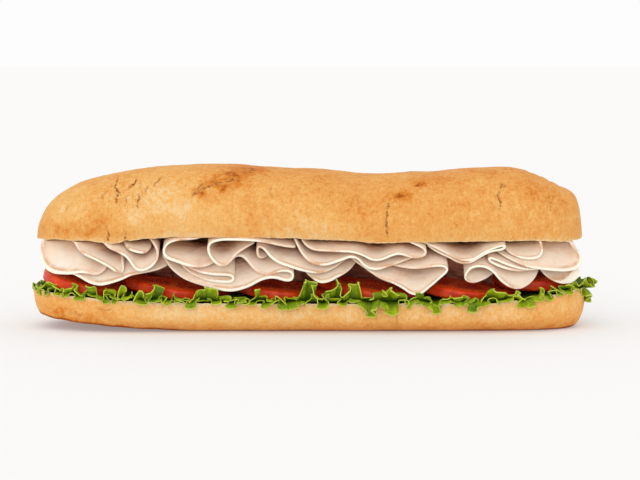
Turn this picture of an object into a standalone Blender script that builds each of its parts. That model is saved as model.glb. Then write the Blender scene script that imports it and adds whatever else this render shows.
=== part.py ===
"""A submarine sandwich: a long soft roll split in two, with lettuce, six shingled tomato
slices and a pack of folded turkey slices between its halves.

The sandwich lies along X, its open front faces -Y, and +Z is up. The origin is the middle
of the flat base of the roll. Sizes are in millimetres, which MM turns into metres.
"""

import math

import bmesh
import bpy
from mathutils import Matrix, Vector

MM = 0.001
GAP = 0.3  # between two pieces that touch

# The roll
ROLL_LENGTH = 300.0
ROLL_WIDTH = 82.0
PLAN_POWERS = (5.5, 7.0)  # how blunt the left and right ends are, seen from above
ROLL_RINGS = 26
ROLL_SIDES = 22

# The bottom half: its cut face is dished in the middle and rises at both ends
LOWER_CUT = 16.5
LOWER_RISE = 4.6
LOWER_DISH = 3.4
DISH_POWER = 4
RISE_POWER = 8
LOWER_POWERS = (6.0, 16.0)  # how blunt its ends are, seen from the side
BASE_SINK = 1.6  # how far the round underside would pass the flat base
LOWER_SIDE_POWER = 0.62

# The top half: a low nose at the left, two swells with a saddle between them
UPPER_CUT = 49.3
UPPER_RISE = 2.0
UPPER_SIDE_POWER = 0.82
UPPER_POWERS = (7.5, 11.0)
TUCK = 0.06  # how much narrower the half is at its cut edge
TUCK_HEIGHT = 12.0
CROWN = (
    (-150, 82.0),
    (-120, 84.0),
    (-80, 88.3),
    (-45, 89.5),
    (-8, 87.0),
    (35, 85.2),
    (92, 88.4),
    (125, 86.0),
    (150, 83.5),
)

# Tomato slices: centre x, centre y, radius, height of the centre, tilt in degrees
TOMATO_THICKNESS = 5.8
TOMATO_EDGE = 1.3
TOMATO_SIDES = 24
TOMATOES = (
    (-121, -6, 26, 24.7, 12.0),
    (-72, -5, 31, 23.4, 7.5),
    (-17, -5, 31, 22.7, 7.5),
    (35, -4, 33, 22.5, 7.5),
    (84, -4, 33, 22.7, 7.5),
    (122, -6, 21, 26.0, 1.5),
)

# Lettuce: three leaves end to end, lying on the bottom half with a frill past its rim
LEAF_THICKNESS = 0.9
LEAF_LIFT = 2.0  # how far a leaf stands off the raised ends of the cut face
LEAF_ENDS = (-153.0, -52.0, 48.0, 157.5)
LEAF_GAP = 0.8
LEAF_OVERHANG = 7.5
LEAF_COLUMNS = 15
LEAF_LYING = (0.0, 0.5, 0.975)  # rows on the cut face, as shares of the roll's half width
LEAF_CLEAR = 1.3  # how far past the rim the frill starts
LEAF_LEAST = 10.0
FRILL_WAVE = 27.0
FRILL_RISE = 3.6
FRILL_DROOP = 1.0

# Turkey: thin slices folded along Y. At the front and back rims the folds hang open. A
# little way in they crest against the top half, and along the middle the pack sags onto
# the tomato.
SLICE_THICKNESS = 1.6
FOLD_ERROR = 0.4  # how far a rounded fold may be from its facets
PRESS_HEIGHT = 49.0
CREST_SHARE = 0.34  # of its drop below PRESS_HEIGHT, what a fold keeps at the crest
CREST_STATION = 0.5
SAG_STATION = 4.0  # how far apart along X the pack's sag is worked out
MOST_SAG = 1.6  # how far the middle may stretch down past the rims
SAG_WINDOW = 3  # stations to either side over which it is evened out
RIM_DEPTH = 42.0
SLICE_REACH = 155.0  # the slices' rims round off towards this half length
RIM_ROUNDING = 0.16
DEPTH_STATIONS = (-1.0, -0.78, -0.5, 0.0, 0.5, 0.78, 1.0)
# Each slice: its rim's depth and the corners of its fold, (x, height), which are rounded
SLICES = {
    "turkey_01": (41.0, ((-146, 36.8), (-142.8, 29), (-128, 30.7), (-115, 22.8),
                         (-103, 26.3), (-92, 31.8), (-76, 29.2))),
    "turkey_02": (42.0, ((-145.8, 43.5), (-142.3, 33.2), (-130, 31.6), (-120, 33.6),
                         (-110.5, 28), (-108.6, 33))),
    "turkey_03": (42.5, ((-128.8, 47.8), (-124.5, 43.2), (-112, 39), (-96.8, 28.6),
                         (-100, 37))),
    "turkey_04": (41.5, ((-112.4, 47.8), (-110, 45.4), (-98.5, 42.5), (-91, 30.6),
                         (-76.3, 41), (-85, 47.8))),
    "turkey_05": (39.0, ((-100, 45.2), (-94.5, 41.2), (-85, 40.2))),
    "turkey_06": (41.5, ((-57, 47.6), (-72, 49), (-79.2, 41.5), (-68, 38), (-57, 35.4),
                         (-48.2, 34.6))),
    "turkey_07": (40.0, ((-75.0, 37.9), (-64.8, 32.4), (-52, 29.4), (-41, 29.2), (-41.2, 25.4),
                         (-55, 26.9), (-65.2, 30.5), (-71.2, 34.6))),
    "turkey_08": (41.5, ((-79, 35.8), (-72, 27.7), (-54, 23.8), (-38, 21), (-22, 30.8),
                         (-9, 26.2), (-7.5, 33.2), (-15, 34.4), (-25, 29.5), (-37.8, 42.6),
                         (-42.2, 33.8))),
    "turkey_09": (42.5, ((-7.6, 41.6), (-20, 46.4), (-32, 48.2), (-52.5, 48.2),
                         (-53.5, 41.5), (-45.5, 35.6), (-37, 43.8), (-29.5, 45.2))),
    "turkey_10": (41.0, ((-22.5, 34.8), (-27.8, 35.6), (-28.6, 45), (-24.4, 45),
                         (-19, 38.4), (-4, 34.4), (8, 31.4), (19, 34.8))),
    "turkey_11": (40.5, ((-4.6, 31.2), (1, 29.2), (8, 25.8), (18, 32), (25, 32.2))),
    "turkey_12": (42.0, ((-7.4, 48), (-3.6, 40.3), (6, 37), (15, 39.5), (25, 43.2),
                         (32, 34.2), (46, 38.3), (58.2, 40))),
    "turkey_13": (42.5, ((-3.4, 48), (-0.8, 43.6), (12, 44.5), (26.5, 44.9), (35.5, 39.2),
                         (47, 45), (54.5, 41.8), (61.8, 42.3), (61, 46.2), (52, 48.1))),
    "turkey_14": (42.5, ((41, 34), (56, 35.6), (69.8, 38.6), (75.8, 35), (68, 28.5),
                         (57.5, 18.9), (46.5, 27.3), (36, 29.5), (20.8, 37.7))),
    "turkey_15": (41.5, ((60, 48.1), (67.5, 47), (83.5, 37.8), (96, 46), (105, 48.7),
                         (105, 44.9), (95.5, 43.5), (83, 35.4), (72.5, 40.6), (63.2, 44.2))),
    "turkey_16": (41.5, ((125.2, 23.2), (115.5, 20.4), (104.5, 26.5), (97, 36),
                         (86, 37.4), (81, 28.5), (90, 23.8), (100, 25.6))),
    "turkey_17": (40.5, ((126.3, 25.3), (110, 31.4), (97, 36.4), (94.8, 39.4),
                         (97, 40.9), (107, 36.2), (118, 31.8), (132.5, 32.2),
                         (131.6, 25.6))),
    "turkey_18": (42.0, ((100.8, 42.2), (112, 37.4), (130, 34.3), (148, 35.2),
                         (148.3, 42.5))),
    "turkey_19": (39.5, ((104.6, 43.6), (114.5, 38.4), (124.5, 38.8), (124, 46),
                         (121, 48.1))),
    "turkey_20": (40.0, ((134.2, 23.8), (141, 23), (147, 31), (143, 32.6), (140.5, 28),
                         (134.2, 27.2))),
}

CRUST = (0.80, 0.47, 0.17)
TOMATO_RED = (0.50, 0.08, 0.035)
LETTUCE_GREEN = (0.26, 0.34, 0.035)
TURKEY_CREAM = (0.87, 0.72, 0.58)


def clear_scene():
    for obj in list(bpy.data.objects):
        bpy.data.objects.remove(obj, do_unlink=True)


def material(name, colour, roughness):
    made = bpy.data.materials.new(name)
    made.use_nodes = True
    shader = made.node_tree.nodes["Principled BSDF"]
    shader.inputs["Base Color"].default_value = (*colour, 1.0)
    shader.inputs["Roughness"].default_value = roughness
    shader.inputs["Metallic"].default_value = 0.0
    return made


def add_object(collection, name, bm, finish):
    """One named object from a mesh modelled in millimetres."""
    bmesh.ops.scale(bm, vec=(MM, MM, MM), verts=bm.verts)
    mesh = bpy.data.meshes.new(name)
    bm.to_mesh(mesh)
    bm.free()
    mesh.materials.append(finish)
    obj = bpy.data.objects.new(name, mesh)
    collection.objects.link(obj)
    return obj


def add_solidify(obj, thickness):
    wall = obj.modifiers.new("thickness", "SOLIDIFY")
    wall.thickness = thickness * MM
    wall.offset = 0.0
    wall.use_even_offset = True


def ease(share):
    return share * share * (3 - 2 * share)


def crown_height(x):
    """Height of the top half's crown along the roll, eased from one station to the next."""
    for (x0, z0), (x1, z1) in zip(CROWN, CROWN[1:]):
        if x <= x1:
            return z0 + (z1 - z0) * ease(max(0.0, (x - x0) / (x1 - x0)))
    return CROWN[-1][1]


def nose(x, powers, half=ROLL_LENGTH / 2):
    """How full the roll is at x: 1 in the middle and 0 at the tip of either end."""
    share = min(1.0, abs(x) / half)
    return math.sqrt(1 - share ** powers[x > 0])


def half_width(x):
    return ROLL_WIDTH / 2 * nose(x, PLAN_POWERS)


def end_rise(x):
    return min(1.0, abs(x) / (ROLL_LENGTH / 2)) ** RISE_POWER


def lower_cut_height(x, y):
    reach = half_width(x)
    across = min(1.0, abs(y) / reach) if reach > 0 else 1.0
    dish = LOWER_DISH * (1 - across ** DISH_POWER) * nose(x, PLAN_POWERS)
    return LOWER_CUT + LOWER_RISE * end_rise(x) - dish


def upper_cut_height(x):
    return UPPER_CUT + UPPER_RISE * end_rise(x)


def power(value, exponent):
    return math.copysign(abs(value) ** exponent, value)


def place_lower(point):
    """A point of a unit sphere, poles on X, moved to the bottom half of the roll."""
    x = point.x * ROLL_LENGTH / 2
    angle = math.atan2(point.z, point.y)
    reach = half_width(x)
    if point.z >= -1e-6:
        y = reach * math.cos(angle)
        return x, y, lower_cut_height(x, y)
    y = reach * power(math.cos(angle), LOWER_SIDE_POWER)
    edge = lower_cut_height(x, reach)
    depth = (edge + BASE_SINK) * nose(x, LOWER_POWERS)
    return x, y, max(0.0, edge - depth * abs(math.sin(angle)) ** LOWER_SIDE_POWER)


def place_upper(point):
    """A point of a unit sphere, poles on X, moved to the top half of the roll."""
    x = point.x * ROLL_LENGTH / 2
    angle = math.atan2(point.z, point.y)
    cut = upper_cut_height(x)
    if point.z <= 1e-6:
        return x, half_width(x) * math.cos(angle) * (1 - TUCK), cut
    rise = (crown_height(x) - cut) * nose(x, UPPER_POWERS)
    height = rise * math.sin(angle) ** UPPER_SIDE_POWER
    narrow = 1 - TUCK * max(0.0, 1 - height / TUCK_HEIGHT) ** 2
    y = half_width(x) * power(math.cos(angle), UPPER_SIDE_POWER) * narrow
    return x, y, cut + height


def roll_half(collection, name, place, finish):
    bm = bmesh.new()
    turn = Matrix.Rotation(math.pi / 2, 4, "Y")
    bmesh.ops.create_uvsphere(
        bm, u_segments=ROLL_SIDES, v_segments=ROLL_RINGS, radius=1.0, matrix=turn
    )
    for vert in bm.verts:
        vert.co = place(vert.co)
    bmesh.ops.recalc_face_normals(bm, faces=bm.faces)
    obj = add_object(collection, name, bm, finish)
    obj.data.shade_smooth()
    obj.data.set_sharp_from_angle(angle=math.radians(50))
    return obj


def tomato_slice(collection, name, x, y, radius, height, tilt, finish):
    bm = bmesh.new()
    bmesh.ops.create_cone(
        bm, cap_ends=True, segments=TOMATO_SIDES, radius1=radius, radius2=radius,
        depth=TOMATO_THICKNESS,
    )
    rims = [edge for edge in bm.edges if abs(edge.verts[0].co.z - edge.verts[1].co.z) < GAP]
    bmesh.ops.bevel(
        bm, geom=rims, offset=TOMATO_EDGE, offset_type="OFFSET", segments=1, profile=0.5,
        affect="EDGES", material=-1,
    )
    obj = add_object(collection, name, bm, finish)
    obj.location = (x * MM, y * MM, height * MM)
    obj.rotation_euler = (0.0, math.radians(tilt), 0.0)
    obj.data.shade_smooth()
    return obj


def past_rim(x, y):
    """How far a point lies outside the rim of the bottom half, in plan."""
    along = (abs(x) / (ROLL_LENGTH / 2)) ** PLAN_POWERS[x > 0]
    return (math.sqrt(along + (2 * y / ROLL_WIDTH) ** 2) - 1) * ROLL_WIDTH / 2


def leaf_height(x, y):
    """A leaf lies on the cut face, and past the rim it waves up and down."""
    lift = GAP + LEAF_LIFT * end_rise(x)
    lying = lower_cut_height(x, y) + lift + LEAF_THICKNESS / 2
    free = max(0.0, min(1.0, (past_rim(x, y) - LEAF_CLEAR) / (LEAF_OVERHANG - LEAF_CLEAR)))
    wave = math.sin(2 * math.pi * (x + abs(y) * 0.3) / FRILL_WAVE)
    return lying + free * (FRILL_RISE * wave - FRILL_DROOP)


def leaf_rows(x):
    """The leaf's rows across the roll: some lie on the cut face, the last are its frill."""
    middle = (LEAF_ENDS[0] + LEAF_ENDS[-1]) / 2
    half = (LEAF_ENDS[-1] - LEAF_ENDS[0]) / 2
    lying = max(LEAF_LEAST, half_width(x))
    tip = ROLL_WIDTH / 2 * nose(x - middle, PLAN_POWERS, half)
    rim = max(lying, tip)
    side = [share * lying for share in LEAF_LYING] + [rim + LEAF_CLEAR, rim + LEAF_OVERHANG]
    return [-y for y in reversed(side[1:])] + side


def sheet(columns, rows, place):
    """A grid whose point at each column and row is moved to place(column, row)."""
    bm = bmesh.new()
    bmesh.ops.create_grid(bm, x_segments=columns - 1, y_segments=rows - 1, size=1.0)
    for vert in bm.verts:
        column = round((vert.co.x + 1) / 2 * (columns - 1))
        row = round((vert.co.y + 1) / 2 * (rows - 1))
        vert.co = place(column, row)
    bmesh.ops.recalc_face_normals(bm, faces=bm.faces)
    return bm


def lettuce_leaf(collection, name, start, end, finish):
    def place(column, row):
        x = start + (end - start) * column / (LEAF_COLUMNS - 1)
        y = leaf_rows(x)[row]
        return x, y, leaf_height(x, y)

    obj = add_object(collection, name, sheet(LEAF_COLUMNS, len(leaf_rows(0)), place), finish)
    add_solidify(obj, LEAF_THICKNESS)
    return obj


def fold_line(corners):
    """The corners of a fold, rounded: each inner corner becomes a short curve."""
    points = [Vector(corner) for corner in corners]
    line = [points[0]]
    for index in range(1, len(points) - 1):
        before, corner, after = points[index - 1 : index + 2]
        start = before if index == 1 else (before + corner) * 0.5
        end = after if index == len(points) - 2 else (corner + after) * 0.5
        bulge = (start - corner * 2 + end).length / 4
        steps = max(1, round(math.sqrt(bulge / FOLD_ERROR)))
        if index > 1:
            line.append(start)
        for step in range(1, steps):
            share = step / steps
            line.append(
                start * (1 - share) ** 2
                + corner * (2 * share * (1 - share))
                + end * share ** 2
            )
    line.append(points[-1])
    return line


def tomato_top(x):
    """Height of the highest tomato face at x."""
    tops = []
    for centre, _, radius, height, tilt in TOMATOES:
        if abs(x - centre) < radius:
            slope = math.radians(tilt)
            tops.append(
                height - (x - centre) * math.tan(slope)
                + TOMATO_THICKNESS / 2 / math.cos(slope)
            )
    return max(tops, default=0.0)


def pack_underside(x):
    """Height of the lowest fold round x, at the rims."""
    lowest = PRESS_HEIGHT
    for _, corners in SLICES.values():
        line = fold_line(corners)
        for before, after in zip(line, line[1:]):
            near, far = sorted((before, after), key=lambda point: point.x)
            if near.x <= x <= far.x:
                share = (x - near.x) / max(GAP, far.x - near.x)
                lowest = min(lowest, near.y + (far.y - near.y) * share)
    return lowest


def evened(values, combine):
    """Each value combined with those up to SAG_WINDOW places from it."""
    spans = (values[max(0, i - SAG_WINDOW) : i + SAG_WINDOW + 1] for i in range(len(values)))
    return [combine(span) for span in spans]


def sag_profile():
    """Share of its drop that a fold keeps along the middle, where the pack lies on tomato.

    One value for each station from one end of the slices to the other.
    """
    shares = []
    for step in range(round(2 * SLICE_REACH / SAG_STATION) + 1):
        x = step * SAG_STATION - SLICE_REACH
        room = PRESS_HEIGHT - tomato_top(x) - 3 * GAP - SLICE_THICKNESS / 2
        shares.append(min(MOST_SAG, room / max(1.0, PRESS_HEIGHT - pack_underside(x))))
    return evened(evened(shares, min), lambda span: sum(span) / len(span))


def sag_share(profile, x):
    place = (x + SLICE_REACH) / SAG_STATION
    step = max(0, min(len(profile) - 2, int(place)))
    return profile[step] + (profile[step + 1] - profile[step]) * (place - step)


def pressed(station, sag):
    """Share of its drop that a fold keeps at a station from the middle (0) to a rim (1)."""
    out = min(1.0, abs(station))
    if out > CREST_STATION:
        climb = math.sin(math.pi / 2 * (1 - out) / (1 - CREST_STATION))
        return 1 - (1 - CREST_SHARE) * climb
    return sag + (CREST_SHARE - sag) * ease(out / CREST_STATION)


def turkey_slice(collection, name, rim, corners, profile, finish):
    """A sheet along the fold line, given its thickness and then pressed up inside."""
    line = fold_line(corners)
    travelled = [0.0]
    for before, after in zip(line, line[1:]):
        travelled.append(travelled[-1] + (after - before).length)

    def place(column, row):
        x, z = line[column]
        end = abs(2 * travelled[column] / travelled[-1] - 1)
        station = DEPTH_STATIONS[row]
        if abs(station) == 1:
            station *= rim / RIM_DEPTH * (1 - RIM_ROUNDING * end ** 4)
        return x, station * RIM_DEPTH * nose(x, PLAN_POWERS, SLICE_REACH), z

    obj = add_object(collection, name, sheet(len(line), len(DEPTH_STATIONS), place), finish)
    add_solidify(obj, SLICE_THICKNESS)
    apply_modifiers(obj)
    for vert in obj.data.vertices:
        x, y, z = vert.co / MM
        station = y / (RIM_DEPTH * nose(x, PLAN_POWERS, SLICE_REACH))
        share = pressed(station, sag_share(profile, x))
        vert.co.z = (PRESS_HEIGHT - (PRESS_HEIGHT - z) * share) * MM
    obj.data.shade_smooth()
    obj.data.set_sharp_from_angle(angle=math.radians(50))
    return obj


def apply_modifiers(obj):
    graph = bpy.context.evaluated_depsgraph_get()
    graph.update()
    plain = obj.data
    obj.data = bpy.data.meshes.new_from_object(obj.evaluated_get(graph))
    obj.modifiers.clear()
    bpy.data.meshes.remove(plain)
    obj.data.name = obj.name


def main():
    clear_scene()
    sandwich = bpy.data.collections.new("submarine_sandwich")
    bpy.context.scene.collection.children.link(sandwich)
    crust = material("baked_crust", CRUST, 0.6)
    tomato = material("tomato", TOMATO_RED, 0.25)
    lettuce = material("lettuce", LETTUCE_GREEN, 0.4)
    turkey = material("turkey", TURKEY_CREAM, 0.45)

    roll_half(sandwich, "bun_bottom", place_lower, crust)
    roll_half(sandwich, "bun_top", place_upper, crust)
    for number, slice_sizes in enumerate(TOMATOES, start=1):
        tomato_slice(sandwich, f"tomato_{number}", *slice_sizes, tomato)
    sides = ("left", "middle", "right")
    for side, start, end in zip(sides, LEAF_ENDS, LEAF_ENDS[1:]):
        name = f"lettuce_{side}"
        lettuce_leaf(sandwich, name, start + LEAF_GAP / 2, end - LEAF_GAP / 2, lettuce)
    profile = sag_profile()
    for name, (rim, corners) in SLICES.items():
        turkey_slice(sandwich, name, rim, corners, profile, turkey)


main()
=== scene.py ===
"""The looks of a submarine sandwich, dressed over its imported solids.

The sandwich lies along X, its open front faces -Y and +Z is up. Sizes are in millimetres,
which MM turns into metres. Each piece is modelled where it lies, so every object stays at
the origin, and what a finish needs to know about its surface is kept in point attributes.
"""

import math
import random

import bmesh
import bpy
from mathutils import Matrix, Vector, noise


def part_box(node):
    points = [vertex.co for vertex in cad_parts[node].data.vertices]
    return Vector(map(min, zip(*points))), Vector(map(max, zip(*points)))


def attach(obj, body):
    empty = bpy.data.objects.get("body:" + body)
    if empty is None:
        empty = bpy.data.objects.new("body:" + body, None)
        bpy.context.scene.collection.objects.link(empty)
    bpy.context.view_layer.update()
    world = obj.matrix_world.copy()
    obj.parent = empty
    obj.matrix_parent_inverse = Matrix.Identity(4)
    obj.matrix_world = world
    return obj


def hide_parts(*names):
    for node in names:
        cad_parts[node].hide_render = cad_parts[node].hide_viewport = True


MM = 0.001
BODY = "root"

# ---- The roll: the same sizes as the solids ----
ROLL_WIDTH = 82.0
LOWER_LENGTHENING = 1.015  # the bottom half reaches a little past the top one
PLAN_POWERS = (5.5, 7.0)
ROLL_RINGS = 440
ROLL_SIDES = 200
CRUST_SIDES = 156  # of the sides, those on the crust; the others cross the cut face
SECTION_STEPS = 96

LOWER_CUT = 16.5
LOWER_RISE = 4.6
LOWER_DISH = 3.4
DISH_POWER = 4
RISE_POWER = 8
LOWER_POWERS = (18.0, 40.0)
BASE_SINK = 1.6
LOWER_SIDE_POWER = 0.62

UPPER_CUT = 49.3
UPPER_RISE = 2.0
UPPER_SIDE_POWER = 0.82
UPPER_POWERS = (9.0, 40.0)
TUCK = 0.06
TUCK_HEIGHT = 12.0
CROWN = (
    (-150, 80.4),
    (-130, 81.8),
    (-119, 84.0),
    (-80, 88.3),
    (-45, 89.2),
    (-8, 86.6),
    (35, 83.8),
    (62, 84.6),
    (92, 87.2),
    (111, 87.0),
    (122.5, 84.2),
    (128, 81.4),
    (133, 78.9),
    (139, 76.4),
    (144, 75.6),
    (151, 79.0),
)
# How far the top half's cut edge wanders from its plane
RIM_WAVE = (
    (-151, -2.6),
    (-135, -0.8),
    (-118, -0.4),
    (-105, -1.1),
    (-97, 0.6),
    (-85, 1.6),
    (-72, 2.4),
    (-58, 2.2),
    (-10, 2.2),
    (-2, 1.4),
    (20, 0.6),
    (36, -0.5),
    (63, -0.5),
    (80, 0.0),
    (120, 0.0),
    (151, -2.4),
)
# How far the underside is lifted off the ground
UNDER_LIFT = (
    (-153, 9.5),
    (-145, 7.4),
    (-138, 6.2),
    (-120, 4.2),
    (-104, 2.7),
    (-88, 1.2),
    (-66, 0.0),
    (138, 0.0),
    (153, 2.0),
)
# How far the bottom half's cut edge wanders from its plane
LOWER_WAVE = (
    (-152, 0.4),
    (-140, 1.7),
    (-120, 1.8),
    (-100, 1.0),
    (-80, 0.4),
    (-50, 0.0),
    (95, 0.0),
    (112, 0.8),
    (126, 1.8),
    (140, 2.6),
    (152, 1.0),
)

# ---- Tomato slices: centre x, centre y, radius, height of the centre, tilt in degrees ----
TOMATO_THICKNESS = 5.8
TOMATO_EDGE = 1.3
TOMATO_DROOP = 3.0  # how far a slice's front and back sink onto the leaf
TOMATO_RINGS = 84
TOMATO_SIDES = 132
TOMATOES = (
    (-121, -6, 26, 24.7, 12.0),
    (-72, -5, 31, 23.4, 7.5),
    (-17, -5, 31, 22.7, 7.5),
    (35, -4, 33, 22.5, 7.5),
    (84, -4, 33, 22.7, 7.5),
    (122, -6, 21, 26.0, 1.5),
)

# ---- Turkey: rim depth and fold corners (x, height) of each slice ----
SLICE_THICKNESS = 1.2
PRESS_HEIGHT = 49.0
# How much of its drop a slice keeps at its crest, inside the rim
CREST_SHARE = ((-151, 0.08), (-124, 0.10), (-106, 0.34), (102, 0.34), (118, 0.16), (151, 0.08))
CREST_STATION = 0.5
RIM_DEPTH = 42.0
SLICE_REACH = 155.0
END_OF_PACK = 152.0
END_LEAN = 0.7  # how far in the folds at the ends lean as they rise
RIM_ROUNDING = 0.16
LAST_STATION = 0.78  # from here to its rim a slice keeps its own depth
END_MEETING = 1.6  # how much higher than elsewhere the slices at both ends reach
SLICE_ROWS = 84
SLICE_STEP = 0.8
SLICES = {
    "turkey_01": (41.0, ((-146, 36.8), (-142.8, 29), (-128, 30.7), (-115, 22.8),
                         (-103, 26.3), (-92, 31.8), (-76, 29.2))),
    "turkey_02": (42.0, ((-143.5, 48), (-145.8, 43), (-142.3, 33.2), (-130, 31.6), (-120, 33.6),
                         (-110.5, 28), (-108.6, 33))),
    "turkey_03": (42.5, ((-128.8, 47.8), (-124.5, 43.2), (-112, 39), (-96.8, 28.6),
                         (-100, 37))),
    "turkey_04": (41.5, ((-112.4, 47.8), (-110, 45.4), (-98.5, 42.5), (-91, 30.6),
                         (-76.3, 41), (-85, 47.8))),
    "turkey_05": (39.0, ((-100, 45.2), (-94.5, 41.2), (-85, 40.2))),
    "turkey_06": (41.5, ((-57, 47.6), (-72, 49), (-79.2, 41.5), (-68, 38), (-57, 35.4),
                         (-48.2, 34.6))),
    "turkey_07": (40.0, ((-75.0, 37.9), (-64.8, 32.4), (-52, 29.4), (-41, 29.2),
                         (-41.2, 25.4), (-55, 26.9), (-65.2, 30.5), (-71.2, 34.6))),
    "turkey_08": (41.5, ((-79, 35.8), (-72, 27.7), (-54, 23.8), (-38, 21), (-22, 30.8),
                         (-9, 26.2), (-7.5, 33.2), (-15, 34.4), (-25, 29.5), (-37.8, 42.6),
                         (-42.2, 33.8))),
    "turkey_09": (42.5, ((-7.6, 41.6), (-20, 46.4), (-32, 48.2), (-52.5, 48.2),
                         (-53.5, 41.5), (-45.5, 35.6), (-37, 43.8), (-29.5, 45.2))),
    "turkey_10": (41.0, ((-22.5, 34.8), (-27.8, 35.6), (-28.6, 45), (-24.4, 45),
                         (-19, 38.4), (-4, 34.4), (8, 31.4), (19, 34.8))),
    "turkey_11": (40.5, ((-4.6, 31.2), (1, 29.2), (8, 25.8), (18, 32), (25, 32.2))),
    "turkey_12": (42.0, ((-7.4, 48), (-3.6, 40.3), (6, 37), (15, 39.5), (25, 43.2),
                         (32, 34.2), (46, 38.3), (58.2, 40))),
    "turkey_13": (42.5, ((-3.4, 48), (-0.8, 43.6), (12, 44.5), (26.5, 44.9), (35.5, 39.2),
                         (47, 45), (54.5, 41.8), (61.8, 42.3), (61, 46.2), (52, 48.1))),
    "turkey_14": (42.5, ((41, 34), (56, 35.6), (69.8, 38.6), (75.8, 35), (68, 28.5),
                         (57.5, 18.9), (46.5, 27.3), (36, 29.5), (20.8, 37.7))),
    "turkey_15": (41.5, ((60, 48.1), (67.5, 47), (83.5, 37.8), (96, 46), (105, 48.7),
                         (105, 44.9), (95.5, 43.5), (83, 35.4), (72.5, 40.6), (63.2, 44.2))),
    "turkey_16": (41.5, ((125.2, 23.2), (115.5, 20.4), (104.5, 26.5), (97, 36),
                         (86, 37.4), (81, 28.5), (90, 23.8), (100, 25.6))),
    "turkey_17": (40.5, ((126.3, 25.3), (110, 31.4), (97, 36.4), (94.8, 39.4),
                         (97, 40.9), (107, 36.2), (118, 32.4), (134.5, 33.4),
                         (133.2, 22.8))),
    "turkey_18": (42.0, ((100.8, 42.2), (112, 37.4), (130, 34.0), (144, 33.4),
                         (147.6, 38.2), (142, 43), (138.5, 47.8))),
    "turkey_19": (39.5, ((104.6, 43.6), (114.5, 38.4), (124.5, 38.8), (124, 46),
                         (121, 48.1))),
    "turkey_20": (40.0, ((124, 25.4), (133, 24), (141, 22.6), (147, 31), (143, 33), (137, 30.4),
                         (127, 31))),
}

# ---- Lettuce ----
LEAF_THICKNESS = 0.45
LEAF_ENDS = (-52.0, 48.0)  # where the middle leaf meets the outer two
LEAF_STEP = 0.42
FRILL_ROWS = 20
LYING_ROWS = 6
FRILL_FOOT = 2.5  # how far inside the bread's rim a frill starts
FRILL_ARCH = 1.5  # how high a frill arches between its foot and its edge
LYING_SHARE = 0.6  # how far in a leaf reaches, of the way to the roll's middle line
# The ruffled edges along the front of the roll: x, rise over the bread's rim, reach past it
STANDING_FRILL = (
    (-152, 2.6, 0.5), (-146, 1.6, 2), (-139.5, 5.2, 1), (-137, 3.0, 2), (-135.4, 4.6, 1.5),
    (-133, 2.2, 2), (-131, 0.6, 3), (-129.2, 3.6, 1.5), (-126.4, 5.8, 0.5), (-123.7, 4.6, 1),
    (-122, 1.2, 2), (-120.9, 0.8, 2), (-120, 3.2, 1), (-118.6, 5.6, 0.5), (-114.2, 5.0, 1),
    (-112.4, 0.4, 2), (-110.6, 0.0, 1), (-109.4, 4.6, 0.5), (-106.4, 4.8, 1), (-105.4, 0.2, 2),
    (-103, -0.2, 1), (-100.3, 6.6, 1), (-98, 0.8, 2), (-96.7, -0.2, 2), (-95.3, 3.6, 1.5),
    (-93.8, 0.3, 2), (-91.9, 0.2, 2), (-90.3, 5.8, 1), (-89, 2.6, 2), (-85, 3.8, 2),
    (-81.6, 8.2, 1), (-80, 6.0, 1), (-79, 2.0, 2), (-74.8, -0.2, 3), (-71.9, 3.2, 2),
    (-70, 0.2, 3), (-62.2, 2.0, 3), (-56.8, 5.6, 2), (-54.2, 8.4, 1), (-50.6, 7.4, 1),
    (-49, 2.0, 1), (-45, 0.2, 0), (-41, 2.2, -2), (-37, 0.6, 0), (-31, 1.0, 2), (-28.6, 7.0, 2),
    (-25.7, 7.0, 1.5), (-24.8, 1.0, 2), (-20, 0.4, 3), (-17.3, 0.4, 2), (-15.8, 4.8, 2),
    (-14.4, 0.6, 2), (-9, 1.2, 2), (-5.6, 3.0, 3), (-4.4, 9.4, 2), (-0.5, 11.6, 1),
    (3.6, 9.4, 1), (5, 3.4, 2), (9, 3.6, 1), (12, 6.6, 2), (14.2, 11.6, 2), (16.0, 9.4, 1),
    (18.4, 3.8, 2), (20.9, 8.4, 1.5), (24, 9.4, 1), (27.2, 10.6, 1), (28.2, 3.0, 1),
    (33, 1.6, 1), (37, 3.8, 1), (39.2, 6.8, 1.5), (40.9, 3.0, 2), (43.4, 8.0, 1.5),
    (46, 4.2, 2), (48.8, 2.4, 2), (53, 0.2, 2), (56.6, 3.2, 1), (58.4, 5.4, 1), (60.6, 4.6, 1),
    (62, 0.6, 1), (68, 0.2, 2), (75, 2.4, 2), (76.6, 0.2, 2), (79, 3.2, 1), (82, 3.6, 1),
    (83.8, 0.2, 2), (91, -0.2, 2), (92.8, 3.8, 1), (95, 3.6, 1), (97, 5.6, 0), (99.6, 6.6, -1),
    (102, 4.6, 0), (105, 2.6, 1), (109, 3.4, 2), (113, 3.6, 2), (115, 0.4, 2), (121, -0.4, 2),
    (124.6, 4.2, 2), (126.2, 0.8, 2), (129.4, 0.6, 2), (131, 4.0, 2), (133, 0.8, 2),
    (136, 2.6, 2), (138, 4.6, 1), (141, 2.2, 2), (146, 3.4, 3), (152, 4.8, 10.5),
)
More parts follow.
